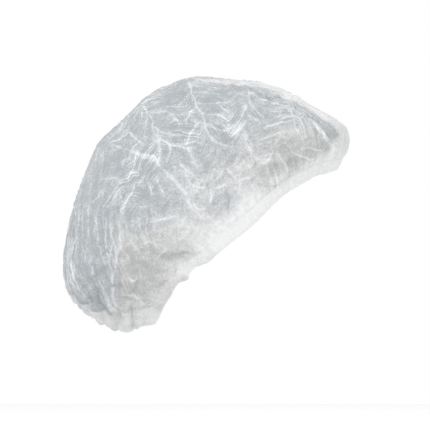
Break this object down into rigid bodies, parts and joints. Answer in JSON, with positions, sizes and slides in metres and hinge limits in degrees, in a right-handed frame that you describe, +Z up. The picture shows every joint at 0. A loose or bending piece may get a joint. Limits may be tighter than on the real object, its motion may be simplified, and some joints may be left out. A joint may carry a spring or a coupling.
{
  "type": "disposable hair cover cap",
  "caption": "White pleated non-woven bouffant hair cap with an elasticated folded hem, held in its worn, billowing shape.",
  "frame": {"origin": "middle of the head opening, halfway between the hem's front and its nape", "axes": "+Z up, +X to the wearer's front, +Y to the wearer's left; the cap is tilted as it sits on an upright head"},
  "size_m": [0.2614, 0.2172, 0.2278],
  "materials": {
    "crown_cloth": "matte",
    "hem_cloth": "matte",
    "elastic_rubber": "matte"
  },
  "bodies": {
    "root": {"crown": "crown_cloth", "hem_casing": "hem_cloth", "elastic_band": "elastic_rubber"}
  },
  "joints": []
}
